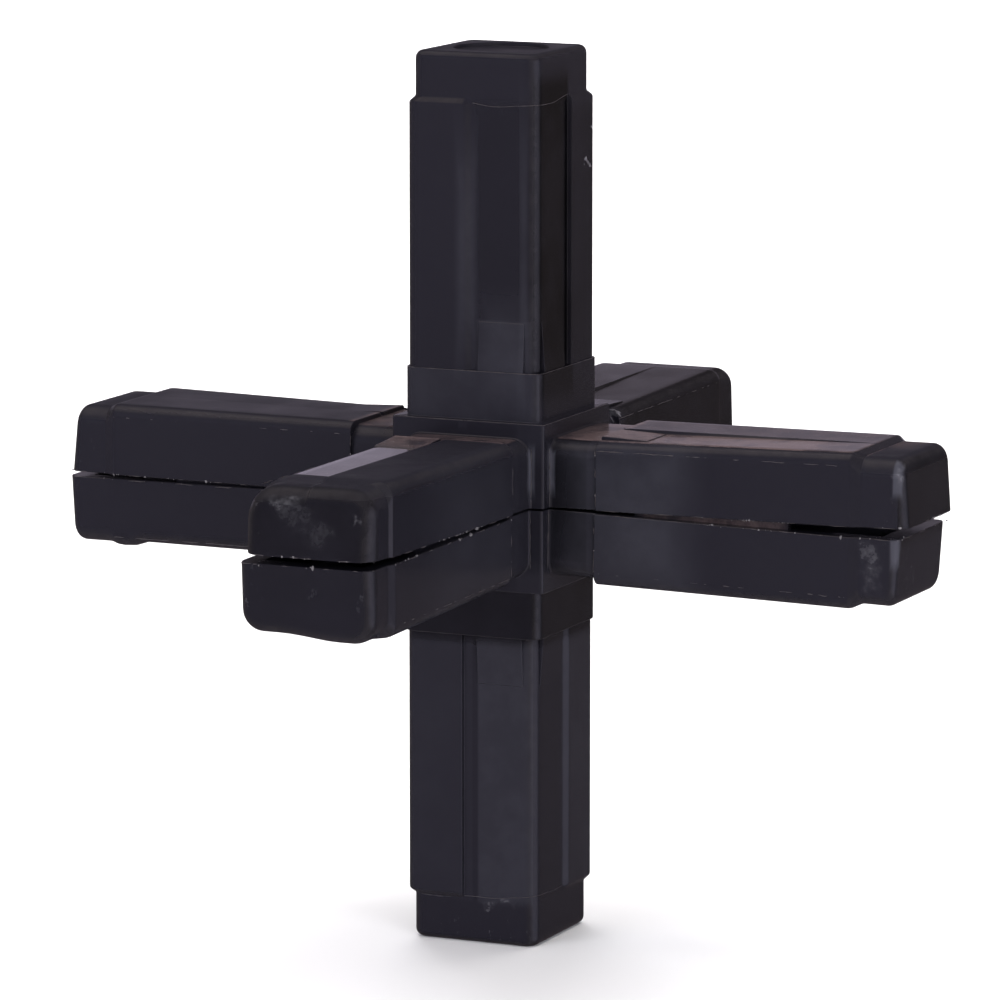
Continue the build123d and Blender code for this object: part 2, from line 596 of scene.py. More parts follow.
@dataclass(frozen=True)
class UprightPost:
    """The hub and the whole post that stands on it, from the parting face up.

    Attributes:
        fit: Sizes that all arms share.
        collar_half: Half the width of the collar.
        collar_top: Height of its top.
        collar_edge: Radius of its upper edge.
        recess_corner: Corner radius of the recessed quarters and of the tip.
        pad_end: Where the pads end.
        chamfer: Length of the slope from the pads to the tip.
        chamfer_ease: How far the corners of that slope are softened.
        end: Where the tip ends.
        end_round: Radius of the edges of the end face.
        hub_rows: Where the plain sections of the hub start and end.
        collar_rows: The same for the collar.
        pad_rows: The same for the pads.
        tip_row: Place of the plain section of the tip.
        dimple_radius: Radius of the round dimple in the end face.
        dimple_depth: Its depth.
        columns: Number of points on a step between a pad and a recess.
        front_step: Where the step of the front side leaves the pad and meets the recess.
        side_step: The same for the right side, the other way round.
    """

    fit: Fit = Fit()
    collar_half: float = 11.2
    collar_top: float = 20.05
    collar_edge: float = 0.2
    recess_corner: float = 2.2
    pad_end: float = 59.9
    chamfer: float = 1.0
    chamfer_ease: float = 0.2
    end: float = 67.65
    end_round: float = 1.2
    hub_rows: Pair = (3.0, 10.7)
    collar_rows: Pair = (15.0, 18.0)
    pad_rows: Pair = (22.0, 58.4)
    tip_row: float = 64.65
    dimple_radius: float = 7.35
    dimple_depth: float = 0.6
    columns: int = 8
    front_step: Pair = (-1.6, 0.1)
    side_step: Pair = (1.3, 1.55)

    @staticmethod
    def square(level: float, corner: float) -> np.ndarray:
        """Sizes of a plain square section: its two levels, then its two corner radii."""
        return np.array([level, level, corner, corner])

    def rows(self) -> np.ndarray:
        """Cross sections from the parting face to the rounded edge of the post's end."""
        fit = self.fit
        hub = self.square(fit.hub_half, fit.hub_corner)
        collar = self.square(self.collar_half, fit.pad_corner)
        padded = np.array([fit.pad_half, fit.core_half, fit.pad_corner, self.recess_corner])
        core = self.square(fit.core_half, self.recess_corner)
        body = Rows()
        body.curve(0.0, hub, fit.foot, 2, after=True)
        body.level(*self.hub_rows, 3, hub)
        body.curve(fit.hub_height, hub, fit.hub_edge, 4, after=False)
        body.curve(fit.hub_height, collar, fit.foot, 3, after=True, fillet=True)
        body.level(*self.collar_rows, 2, collar)
        body.curve(self.collar_top, collar, self.collar_edge, 4, after=False)
        body.curve(self.collar_top, padded, fit.foot / 2, 2, after=True, fillet=True)
        body.level(*self.pad_rows, 12, padded)
        body.slope(self.pad_end, self.chamfer, self.chamfer_ease, padded, core)
        body.at(self.tip_row, core)
        body.curve(self.end, core, self.end_round, 6, after=False)
        return body.table()

    def outlines(self, rows: np.ndarray) -> np.ndarray:
        """Closed sections round the post, from the front side and anticlockwise.

        Each side steps once at its middle between a pad and a recess, so pads go round
        two opposite corners. Corners are quarter circles.

        Args:
            rows: Place up the post, pad level, recess level, pad and recess corner radius.

        Returns:
            Points by row and by place round the section.
        """
        place, *sizes = (column[:, None] for column in rows.T)
        pad, recess, pad_corner, recess_corner = sizes
        turn = np.linspace(-QUARTER, 0.0, POST_CORNER_POINTS)[None, :]
        cos, sin = 1 - np.cos(turn), np.sin(turn)
        front = self.stepped_side(*sizes, *self.front_step)
        low, high = self.side_step
        side = self.stepped_side(*sizes, -high, -low)[:, ::-1]
        half = np.concatenate([
            front,
            np.stack([recess - recess_corner * cos, recess_corner * (1 + sin) - recess], axis=-1),
            np.stack([-side[..., 1], -side[..., 0]], axis=-1),
            np.stack([pad - pad_corner * (1 + sin), pad - pad_corner * cos], axis=-1),
        ], axis=1)
        ring = np.concatenate([half, -half], axis=1)
        height = np.broadcast_to(place[:, :, None], ring.shape[:2] + (1,))
        return np.concatenate([ring, height], axis=-1)

    def stepped_side(self, pad: np.ndarray, recess: np.ndarray, pad_corner: np.ndarray,
                     recess_corner: np.ndarray, low: float, high: float) -> np.ndarray:
        """The flat part of the front side: the pad, a smooth step, and the recess.

        Args:
            pad: Level of the pad, one value for each row.
            recess: Level of the recess.
            pad_corner: Corner radius beside the pad.
            recess_corner: Corner radius beside the recess.
            low: Where the step leaves the pad.
            high: Where it meets the recess.

        Returns:
            Points by row and along the side, across and outwards.
        """
        on_step = np.linspace(low, high, self.columns)[None, :] + 0 * pad
        share = (np.arange(1, self.columns) / self.columns)[None, :]
        start, end = pad_corner - pad, recess - recess_corner
        along = np.concatenate([
            start + (low - start) * share, on_step, high + (end - high) * (1 - share[:, ::-1]),
        ], axis=1)
        level = pad + (recess - pad) * smooth_step(along, low, high)
        return np.stack([along, -level], axis=-1)

    def dimple_rings(self, rim: np.ndarray) -> np.ndarray:
        """Rings from the rim of the end face down into the round dimple.

        Each ring is the circle of one radius, read in the directions of the rim's points.

        Args:
            rim: The last ring of the post.

        Returns:
            The rings, shape (rings, points, 3).
        """
        angle = np.arctan2(rim[:, 1], rim[:, 0])
        depth = self.dimple_depth
        # How much wider than the dimple each ring is, and how far it is below the end face
        profile = (
            (0.08, 0.0), (0.0, 0.03), (-0.05, 0.12), (-0.07, depth - 0.1), (-0.2, depth),
        )
        return np.array([
            np.column_stack([
                np.cos(angle) * (self.dimple_radius + wider),
                np.sin(angle) * (self.dimple_radius + wider),
                np.full(len(rim), self.end - drop),
            ])
            for wider, drop in profile
        ])

    def body(self) -> Shell:
        """Hub and post, without the wedges and hollows."""
        rings = self.outlines(self.rows())
        return Shell.from_rings(np.concatenate([rings, self.dimple_rings(rings[-1])]))

    def wedges(self) -> list[Shell]:
        """The wedge in the recess of each side, on the collar.

        The one of the front side is a bar along X that is stood up and faced to the front,
        and the others are its copies at the other recesses.
        """
        fit, end = self.fit, self.collar_top + self.fit.wedge_length
        low, tip = fit.core_half - 2 * fit.sink, fit.core_half + fit.wedge_lip
        profile = (
            (self.collar_top - fit.foot, fit.pad_half),
            (end - fit.wedge_lip, tip),
            (end, tip - fit.wedge_lip),
            (end + fit.foot, low + fit.sink),
        )
        far = fit.wedge_start + fit.wedge_width
        stand = np.array([[0, 1, 0, 0], [0, 0, -1, 0], [1, 0, 0, 0], [0, 0, 0, 1]], float)
        swap = np.array([[0, -1, 0, 0], [-1, 0, 0, 0], [0, 0, 1, 0], [0, 0, 0, 1]], float)
        front = bar(profile, fit.wedge_start, far, low, fit.soft_edge).moved(stand)
        pair = [front, front.moved(swap)]
        return pair + [wedge.moved(turn_matrix(180.0, "Z")) for wedge in pair]

    def cells(self) -> list[Shell]:
        """Four deep hollows up the post, open at the parting face."""
        fit = self.fit
        half, places = (fit.cell_width / 2,) * 2, (-fit.cell_offset, fit.cell_offset)
        return [
            frustum((x, y), half, -fit.sink, self.end - fit.end_wall, fit.cell_draft / 2)
            for x in places for y in places
        ]


def combine(base: bpy.types.Object, shells: Sequence[Shell], join: Join) -> None:
    """Joins closed solids to a piece or cuts them from it, and keeps the result as its mesh.

    Args:
        base: The piece that changes.
        shells: The solids, which don't overlap each other.
        join: Whether they are added or cut away.
    """
    tool = Shell.together(shells).to_object("tool")
    modifier = base.modifiers.new(join.name.lower(), "BOOLEAN")
    modifier.operation = join.value
    modifier.solver = "MANIFOLD"
    modifier.object = tool
    graph = bpy.context.evaluated_depsgraph_get()
    result = bpy.data.meshes.new_from_object(base.evaluated_get(graph))
    base.modifiers.clear()
    worn_out = (base.data, tool.data)
    base.data = result
    bpy.data.objects.remove(tool)
    for mesh in worn_out:
        bpy.data.meshes.remove(mesh)


@dataclass(frozen=True)
class Moulding:
    """One of the two like halves, with its own small warp.

    Attributes:
        half: Which half it is, and so which CAD node it stands for.
        leans: How far each split arm leans from the parting face, in degrees, by heading.
        arms: The split arms by heading.
        gap: Gap between the parting faces of the two halves.
        offset: How far the lower half sits beside the upper one.
        post: The hub with its post.
        sharp_angle: Angle between faces from which their edge is sharp, in degrees.
    """

    half: Half
    leans: Four
    arms: tuple[SplitArm, SplitArm, SplitArm, SplitArm]
    gap: float = 0.3
    offset: float = 0.2
    post: UprightPost = UprightPost()
    sharp_angle: float = 28.0

    def place(self) -> np.ndarray:
        """Where the half goes: as it stands, or turned over about the line X = Y."""
        up = shift_matrix(z=self.gap / 2)
        if self.half is Half.UPPER:
            return up
        over = np.array(Matrix.Rotation(math.pi, 4, Vector((1.0, 1.0, 0.0))))
        return shift_matrix(x=-self.offset) @ over @ up

    def placed_arms(self) -> list[tuple[SplitArm, np.ndarray]]:
        """Each split arm, and where it goes: hinged at its start by its lean, then turned."""
        arms = []
        for heading in Heading:
            arm, lean = self.arms[heading.value], self.leans[heading.value]
            hinge = shift_matrix(x=arm.start) @ turn_matrix(-lean, "Y")
            turned = self.place() @ turn_matrix(90.0 * heading.value, "Z")
            arms.append((arm, turned @ hinge @ shift_matrix(x=-arm.start)))
        return arms

    def build(self) -> bpy.types.Object:
        """The half as one closed shell, smooth but for its sharp edges."""
        place, arms = self.place(), self.placed_arms()
        piece = self.post.body().moved(place).to_object(f"moulding_{self.half.value}")
        combine(piece, [arm.body().moved(spot) for arm, spot in arms], Join.ADD)
        small = [wedge.moved(place) for wedge in self.post.wedges()]
        small += [shell.moved(spot) for arm, spot in arms for shell in (arm.wedge(), arm.tongue())]
        combine(piece, small, Join.ADD)
        cells = [cell.moved(place) for cell in self.post.cells()]
        cells += [cell.moved(spot) for arm, spot in arms for cell in arm.cells()]
        combine(piece, cells, Join.CUT)
        combine(piece, [arm.rebate().moved(spot) for arm, spot in arms], Join.CUT)
        mesh = piece.data
        mesh.polygons.foreach_set("use_smooth", np.ones(len(mesh.polygons), bool))
        mesh.set_sharp_from_angle(angle=math.radians(self.sharp_angle))
        piece.modifiers.new("level_faces", "WEIGHTED_NORMAL").keep_sharp = True
        return piece


@dataclass(frozen=True)
class Edge:
    """A straight edge that carries flash.

    Attributes:
        start: Where it starts, in millimetres.
        end: Where it ends.
        share: How much of it has a lip.
        crumbly: Whether crumbs lie along it.
    """

    start: Triple
    end: Triple
    share: float
    crumbly: bool


@dataclass(frozen=True)
class Flash:
    """Thin uneven lips and loose crumbs that the mould leaves along its edges.

    Their pale finishes are partly painted highlights: light lines along the edges, strokes on the
    root fillets and glints on the crumbs. Each pair of numbers is a range that a random factor is
    drawn from.

    Attributes:
        moulding: The half that they are on.
        seed: Start of the random numbers.
        lip: Radius of a lip, in millimetres.
        crumb: Middle size of a crumb.
        rim: Radius of the lip round the hub and the collar.
        witness: Radius of the wavy line round the post.
        waves: Height, number round the post and phase of its waves.
        stretch: Length of one unbroken stretch of lip.
        point_distance: Distance between the points of a lip.
        fewest_points: Points of a short one.
        jitter: How far these points are off the edge.
        thickness: Unevenness of a lip's radius.
        run: Unevenness of the length of a stretch.
        pause: Unevenness of the length of a gap.
        crumb_spacing: Mean distance between crumbs along an edge.
        nests: Number of places on an edge that crumbs gather at.
        nest_reach: How far they lie from these places.
        crumb_spread: Spread of the logarithm of their size.
        dents: Unevenness of a crumb's points.
        crumb_shape: Unevenness of its three widths.
        sides: Sides of the section of a lip or a crumb.
    """

    moulding: Moulding
    seed: int
    lip: float = 0.065
    crumb: float = 0.055
    rim: float = 0.055
    witness: float = 0.055
    waves: tuple[Triple, ...] = ((0.45, 2.0, 0.6), (0.16, 7.0, 1.0))
    stretch: float = 7.0
    point_distance: float = 0.6
    fewest_points: int = 4
    jitter: float = 0.025
    thickness: Pair = (0.5, 1.35)
    run: Pair = (0.3, 1.3)
    pause: Pair = (0.5, 1.5)
    crumb_spacing: float = 1.9
    nests: int = 3
    nest_reach: float = 3.0
    crumb_spread: float = 0.55
    dents: Pair = (0.7, 1.3)
    crumb_shape: Pair = (0.6, 1.6)
    sides: int = 5

    def polygon(self) -> np.ndarray:
        """Corners of a regular polygon of radius 1, one row each."""
        turn = np.linspace(0.0, 2 * math.pi, self.sides + 1)[:-1]
        return np.column_stack([np.cos(turn), np.sin(turn)])

    def line(self, points: np.ndarray, radius: float, dice: np.random.Generator) -> Shell:
        """A thin bar with an uneven radius along a line of points.

        Args:
            points: The line, in millimetres.
            radius: Its middle radius.
            dice: Source of its unevenness.

        Returns:
            The closed bar, pointed at both ends.
        """
        along = np.gradient(points, axis=0)
        along /= np.linalg.norm(along, axis=1)[:, None]
        # Any direction would do that no edge has
        side = np.cross(along, np.array([0.31, 0.24, 0.92]))
        side /= np.linalg.norm(side, axis=1)[:, None]
        frames = np.stack([side, np.cross(along, side)], axis=1)
        size = radius * dice.uniform(*self.thickness, len(points))
        size[[0, -1]] /= 4
        return Shell.from_rings(points[:, None] + size[:, None, None] * (self.polygon() @ frames))

    def broken(self, start: np.ndarray, end: np.ndarray, share: float,
               dice: np.random.Generator) -> list[Shell]:
        """Stretches of lip along a straight edge, with gaps between them.

        Args:
            start: Where the edge starts.
            end: Where it ends.
            share: How much of the edge has a lip.
            dice: Source of the places and lengths.

        Returns:
            The stretches.
        """
        length = float(np.linalg.norm(end - start))
        lips = []
        place = dice.uniform(0.0, self.stretch) * (1.0 - share)
        while place < length - self.lip:
            run = dice.uniform(*self.run) * self.stretch * share
            last = min(place + run, length)
            count = max(self.fewest_points, int(run / self.point_distance))
            steps = np.linspace(place, last, count) / length
            wander = dice.normal(0.0, self.jitter, (len(steps), 3))
            lips.append(self.line(start + (end - start) * steps[:, None] + wander, self.lip, dice))
            place = last + dice.uniform(*self.pause) * self.stretch * (1.0 - share)
        return lips

    def crumbs(self, start: np.ndarray, end: np.ndarray, dice: np.random.Generator) -> list[Shell]:
        """Small irregular grains that gather at a few places of an edge.

        Args:
            start: Where the edge starts.
            end: Where it ends.
            dice: Source of their places and forms.

        Returns:
            The grains, each a few rings of a ball with moved points.
        """
        length = float(np.linalg.norm(end - start))
        nests = dice.uniform(0.0, 1.0, self.nests)
        heights = np.array([-0.95, -0.3, 0.45, 0.95])
        ball = np.array([
            np.column_stack([self.polygon() * math.sqrt(1.0 - height ** 2), [height] * self.sides])
            for height in heights
        ])
        grains = []
        for _ in range(int(length / self.crumb_spacing)):
            share = dice.choice(nests) + dice.normal(0.0, self.nest_reach / length)
            centre = start + (end - start) * float(np.clip(share, 0.0, 1.0))
            centre = centre + dice.normal(0.0, self.lip, 3)
            size = self.crumb * math.exp(dice.normal(0.0, self.crumb_spread))
            dents = dice.uniform(*self.dents, ball.shape[:2])[..., None]
            rings = ball * dents * dice.uniform(*self.crumb_shape, 3)
            grains.append(Shell.from_rings(centre + size * rings))
        return grains

    def arm_edges(self, arm: SplitArm) -> list[Edge]:
        """The edges of one split arm that carry flash, in the arm's own place.

        On each side they are the edge of the parting face along the pad and the tip, the
        front edge of the pad, the line where its side starts to round off, and the fillet
        at the root, whose pale lip is a painted highlight. The last one is the edge of the
        parting face at the end of the tip.

        Args:
            arm: The split arm.

        Returns:
            The edges.
        """
        low, shoulder = self.lip, arm.pad.up - arm.pad.corner
        start, end, hub = arm.pad_start, arm.pad_end, arm.fit.hub_half + arm.root_fillet / 5
        tip_start, tip_end = end + arm.chamfer, arm.end - arm.end_round / 2
        fillet = arm.core.out + arm.root_fillet / 2
        edges = []
        for side in (-1, 1):
            pad, tip, root = (
                side * (out - self.lip / 2) for out in (arm.pad.out, arm.core.out, fillet)
            )
            line = side * (arm.pad.out - self.lip)
            edges += [
                Edge((start, pad, low), (end, pad, low), share=0.4, crumbly=True),
                Edge((tip_start, tip, low), (tip_end, tip, low), share=0.4, crumbly=True),
                Edge((start, pad, low), (start, pad, shoulder), share=0.5, crumbly=True),
                Edge((start, line, shoulder), (end, line, shoulder), share=0.8, crumbly=False),
                # A painted highlight: a pale lip up the root fillet.
                Edge((hub, root, low), (hub, root, shoulder - low), share=1.0, crumbly=False),
            ]
        tip, end = arm.core.out - self.lip, arm.end - self.lip / 2
        return edges + [Edge((end, -tip, low), (end, tip, low), share=0.5, crumbly=True)]

    def rings(self) -> list[np.ndarray]:
        """Closed lines round the hub and the collar, and a wavy one round the post.

        The wavy one is where the end of the mould was set in. Its height goes as a sum of
        sines of the angle round the post. The others are sunk a little into their edges.
        """
        post, fit, place = self.moulding.post, self.moulding.post.fit, self.moulding.place()
        hub, collar, tip = (
            post.outlines(np.array([[height, *post.square(level, corner)]]))[0]
            for height, level, corner in (
                (fit.hub_height - 0.08, fit.hub_half - 0.08, fit.hub_corner),
                (post.collar_top - 0.07, post.collar_half - 0.05, fit.pad_corner),
                (post.pad_end + 0.4, fit.core_half, post.recess_corner),
            )
        )
        angle = np.arctan2(tip[:, 1], tip[:, 0])
        tip[:, 2] += sum(high * np.sin(count * angle + phase) for high, count, phase in self.waves)
        return [carried(ring, place) for ring in (hub, collar, tip)]

    def build(self) -> tuple[bpy.types.Object, bpy.types.Object]:
        """The lips and the crumbs of one half, as one mesh each."""
        dice = np.random.default_rng(self.seed)
        radii = (self.rim, self.rim, self.witness)
        lips = [self.line(ring, radius, dice) for ring, radius in zip(self.rings(), radii)]
        grains: list[Shell] = []
        for arm, spot in self.moulding.placed_arms():
            for edge in self.arm_edges(arm):
                start, end = carried(np.array([edge.start, edge.end]), spot)
                lips += self.broken(start, end, edge.share, dice)
                if edge.crumbly:
                    grains += self.crumbs(start, end, dice)
        name = self.moulding.half.value
        lip_piece = Shell.together(lips).to_object(f"lips_{name}")
        return lip_piece, Shell.together(grains).to_object(f"crumbs_{name}")


class Sockets:
    """Adds nodes and links to one node tree with short calls."""

    def __init__(self, tree: bpy.types.NodeTree) -> None:
        """Keeps the tree that the calls work on."""
        self.tree = tree

    def node(self, kind: str, inputs: Optional[dict] = None, **settings: object) -> bpy.types.Node:
        """Adds a node.

        Args:
            kind: Its type, without the first part, ShaderNode.
            inputs: Values or sockets for its inputs, by name or number.
            settings: Values of its own properties.

        Returns:
            The node.
        """
        made = self.tree.nodes.new(kind if kind.startswith("NodeGroup") else "ShaderNode" + kind)
        for name, value in settings.items():
            setattr(made, name, value)
        for name, value in (inputs or {}).items():
            if isinstance(value, Socket):
                self.tree.links.new(value, made.inputs[name])
            else:
                made.inputs[name].default_value = value
        return made

    def math(self, operation: str, first: Value, second: Value = 0.0,
             clamp: bool = False) -> Socket:
        """The result of a sum of two values or sockets."""
        inputs = {0: first, 1: second}
        return self.node("Math", inputs, operation=operation, use_clamp=clamp).outputs[0]

    def vector(self, operation: str, first: Value, second: Value = (0.0, 0.0, 0.0),
               out: str = "Vector") -> Socket:
        """The result of a sum of two vectors or sockets."""
        return self.node("VectorMath", {0: first, 1: second}, operation=operation).outputs[out]

    def spread(self, value: Value, low: float, high: float, first: float = 0.0,
               last: float = 1.0) -> Socket:
        """A value moved smoothly from one range to another, and held at its ends."""
        labels = ("Value", "From Min", "From Max", "To Min", "To Max")
        inputs = dict(zip(labels, (value, low, high, first, last)))
        return self.node("MapRange", inputs, interpolation_type="SMOOTHSTEP").outputs["Result"]

    def noise(self, where: Socket, scale: float, detail: float = 2.0, roughness: float = 0.5,
              out: str = "Fac") -> Socket:
        """The value of a noise with features of about 1 / scale metres."""
        inputs = {"Vector": where, "Scale": scale, "Detail": detail, "Roughness": roughness}
        return self.node("TexNoise", inputs).outputs[out]

    def largest(self, vector: Socket) -> Socket:
        """The largest of the three parts of a vector, each without its sign.

        Args:
            vector: The vector.

        Returns:
            The size of that part.
        """
        parts = self.node("SeparateXYZ", {0: vector}).outputs
        most = self.math("ABSOLUTE", parts[0])
        for axis in (1, 2):
            most = self.math("MAXIMUM", most, self.math("ABSOLUTE", parts[axis]))
        return most


class Group(Sockets):
    """A new shader node group, with the place on the object as its input Vector."""

    def __init__(self, name: str, **values: float) -> None:
        """Makes the group.

        Args:
            name: Its name.
            values: Names and default values of its number inputs.
        """
        super().__init__(bpy.data.node_groups.new(name, "ShaderNodeTree"))
        self.socket("Vector", "INPUT", "NodeSocketVector")
        for label, value in values.items():
            self.socket(label, "INPUT").default_value = value
        self.given = self.node("NodeGroupInput").outputs

    def socket(self, label: str, side: str,
               kind: str = "NodeSocketFloat") -> bpy.types.NodeTreeInterfaceSocket:
        """Adds a socket to the outside of the group."""
        return self.tree.interface.new_socket(label, in_out=side, socket_type=kind)

    def closed(self, **results: Socket) -> bpy.types.NodeTree:
        """The finished group, with one number output for each result."""
        for label in results:
            self.socket(label, "OUTPUT")
        self.node("NodeGroupOutput", results)
        return self.tree


@dataclass(frozen=True)
class Patch:
    """A soft-edged part of space in which the skin differs.

    Attributes:
        centre: Its middle, in millimetres.
        reach: Half its size along X, Y and Z.
        weight: How strong it is.
        upward: Whether only surfaces that face up have it.
    """

    centre: Triple
    reach: Triple
    weight: float = 1.0
    upward: bool = False


@dataclass(frozen=True)
class Patchwork:
    """Patches of one kind.

    Attributes:
        name: Name of their node group.
        patches: The patches.
        scale: How fine their unevenness is, as a noise scale.
        breaks: How strong the unevenness is.
        core: Share of a patch that has its full strength.
        rounded: Whether the patches are ellipsoids and not blocks.
        warp: How far the outlines wander, in millimetres.
        warp_scale: How fine this wandering is, as a noise scale.
        level: Upward parts of the normal between which a surface comes to face up.
        contrast: Values of the noise between which the unevenness fades.
    """

    name: str
    patches: tuple[Patch, ...]
    scale: float
    breaks: float
    core: float
    rounded: bool = False
    warp: float = 0.0
    warp_scale: float = 480.0
    level: Pair = (0.94, 0.99)
    contrast: Pair = (0.36, 0.66)

    def build(self) -> bpy.types.NodeTree:
        """A node group with a mask that is 0 outside the patches and uneven inside them."""
        tools = Group(self.name)
        where = moved = tools.given["Vector"]
        normal = tools.node("NewGeometry").outputs["Normal"]
        upward = tools.node("SeparateXYZ", {0: normal}).outputs[2]
        facing_up = tools.spread(upward, *self.level)
        if self.warp:
            wander = tools.noise(where, self.warp_scale, detail=3.0, out="Color")
            wander = tools.vector("SUBTRACT", wander, (0.5, 0.5, 0.5))
            wander = tools.vector("MULTIPLY", wander, (self.warp * MM,) * 3)
            moved = tools.vector("ADD", where, wander)
        total = 0.0
        for patch in self.patches:
            distance = self.distance(tools, moved, patch)
            inside = tools.math("MULTIPLY", tools.spread(distance, 1.0, self.core), patch.weight)
            if patch.upward:
                inside = tools.math("MULTIPLY", inside, facing_up)
            total = tools.math("ADD", total, inside)
        patchy = tools.noise(where, self.scale, detail=4.0, roughness=0.65)
        uneven = tools.spread(patchy, *self.contrast, 1.0 - self.breaks, 1.0)
        return tools.closed(Mask=tools.math("MULTIPLY", total, uneven, clamp=True))

    def distance(self, tools: Sockets, where: Socket, patch: Patch) -> Socket:
        """How far a place is from a patch's middle: 1 on its outline.

        Args:
            tools: The group that the nodes go into.
            where: The place.
            patch: The patch.

        Returns:
            The distance.
        """
        centre = tuple(value * MM for value in patch.centre)
        reach = tuple(value * MM for value in patch.reach)
        scaled = tools.vector("DIVIDE", tools.vector("SUBTRACT", where, centre), reach)
        if self.rounded:
            return tools.vector("LENGTH", scaled, out="Value")
        return tools.largest(scaled)


POLISHED = Patchwork("polished_skin", scale=60.0, breaks=0.2, core=0.94, patches=(
    Patch((-5.4, -39.8, 10.2), (5.4, 16.6, 1.4), 0.9),
))
DULL = Patchwork("dull_skin", scale=120.0, breaks=0.25, core=0.9, patches=(
    Patch((5.6, -45.0, 10.9), (5.6, 26.0, 1.6), 1.0),
    Patch((-40.0, 0.0, 10.9), (26.0, 11.0, 1.6), 0.35),
    Patch((0.0, 0.0, 67.9), (11.0, 11.0, 0.8), 0.6),
    Patch((-5.6, -62.0, 10.0), (5.6, 6.4, 1.8), 1.0),
    Patch((66.4, 0.0, 10.6), (4.4, 11.0, 2.0), 0.8),
    Patch((-66.4, 0.0, 10.6), (4.4, 11.0, 2.0), 0.5),
))
# A brownish film on the upward faces, partly dust and partly painted sheen that stands for the
# reflection on the tops; the last patch paints light on the tongue in the slot.
DUST_AND_SHEEN = Patchwork("dust_and_painted_sheen", scale=330.0, breaks=0.7, core=0.85, patches=(
    Patch((35.0, -5.4, 10.8), (20.0, 5.4, 2.0), 1.7, upward=True),
    Patch((58.0, -5.4, 10.8), (4.6, 5.4, 2.0), 0.7, upward=True),
    Patch((42.0, 5.4, 11.2), (26.0, 5.4, 1.4), 0.35, upward=True),
    Patch((16.0, 0.0, 10.6), (5.4, 10.5, 1.4), 0.9, upward=True),
    Patch((0.0, -16.0, 10.6), (10.5, 5.4, 1.4), 0.8, upward=True),
    Patch((-5.0, -24.5, 10.7), (5.0, 4.5, 1.4), 0.9, upward=True),
    Patch((-16.0, 0.0, 10.6), (5.4, 10.5, 1.4), 0.7, upward=True),
    Patch((38.3, -8.4, -0.4), (12.6, 1.4, 1.9), 1.0),
))
# Painted shade: these patches darken the skin under the hub, in the post's recesses, on the back
# arm, beside the hub and on two arm ends.
SHADED = Patchwork("painted_shade", scale=90.0, breaks=0.3, core=0.85, patches=(
    Patch((5.4, -10.6, 42.0), (5.6, 1.2, 20.0), 0.2),
    Patch((10.6, -4.5, 40.0), (1.2, 6.4, 26.0), 0.95),
    Patch((0.0, 45.0, 6.0), (13.0, 25.0, 8.0), 0.8),
    Patch((0.0, -67.5, 0.0), (11.5, 2.0, 11.5), 0.3),
    Patch((0.0, -67.5, 7.0), (11.5, 2.0, 6.8), 0.3),
    Patch((69.6, 0.0, 0.0), (1.8, 11.5, 12.0), 0.6),
    Patch((10.8, 5.5, 40.0), (1.2, 5.6, 20.5), 0.35),
    Patch((0.0, 0.0, -6.5), (12.8, 12.8, 6.0), 0.3),
    Patch((15.5, -11.0, 0.0), (3.2, 3.5, 12.0), 0.65),
    Patch((0.0, 0.0, -15.0), (12.6, 12.6, 7.0), 0.7),
))
# Painted light: these patches lighten the skin with a bluish tint on the lower post, the collar and
# the front wedge, where more light falls.
PAINTED_LIGHT_PATCHES = Patchwork("bluish_painted_light", scale=150.0, breaks=0.35, core=0.92, patches=(
    Patch((5.9, -10.4, -41.0), (5.4, 0.9, 21.0), 0.34),
    Patch((-5.4, -10.9, -41.0), (5.4, 0.9, 21.0), 0.10),
    Patch((0.0, -11.2, 16.4), (11.6, 0.8, 4.0), 0.24),
    Patch((5.0, -10.7, 24.0), (4.6, 0.9, 4.0), 0.20),
    Patch((10.6, 5.0, -41.0), (0.8, 5.6, 20.0), 0.22),
))
# Painted highlights and painted light: soft lighter patches beside the hub, on the edges of the +X
# tip, on the root fillets and along the post's step and corner.
SOFT_HIGHLIGHT_PATCHES = Patchwork("soft_painted_highlights", scale=150.0, breaks=0.3, core=0.2, patches=(
    Patch((10.6, -30.0, 0.0), (3.0, 26.0, 16.0), 0.22),
    Patch((25.0, -10.9, 0.0), (14.5, 3.0, 16.0), 0.5),
    Patch((67.8, -9.8, 8.4), (0.8, 1.6, 3.8), 2.2),
    Patch((67.4, -9.8, -3.0), (0.8, 1.6, 3.2), 1.5),
    Patch((10.55, -12.85, 5.8), (0.7, 0.7, 4.8), 1.5),
    Patch((12.85, -10.55, 5.8), (0.7, 0.7, 4.8), 1.2),
    Patch((-1.0, -10.8, 38.0), (2.2, 3.0, 24.0), 0.3),
    Patch((8.2, -10.3, 38.0), (0.9, 3.0, 30.0), 0.22),
    Patch((5.6, -10.6, 23.0), (5.5, 3.0, 11.0), 0.22),
))
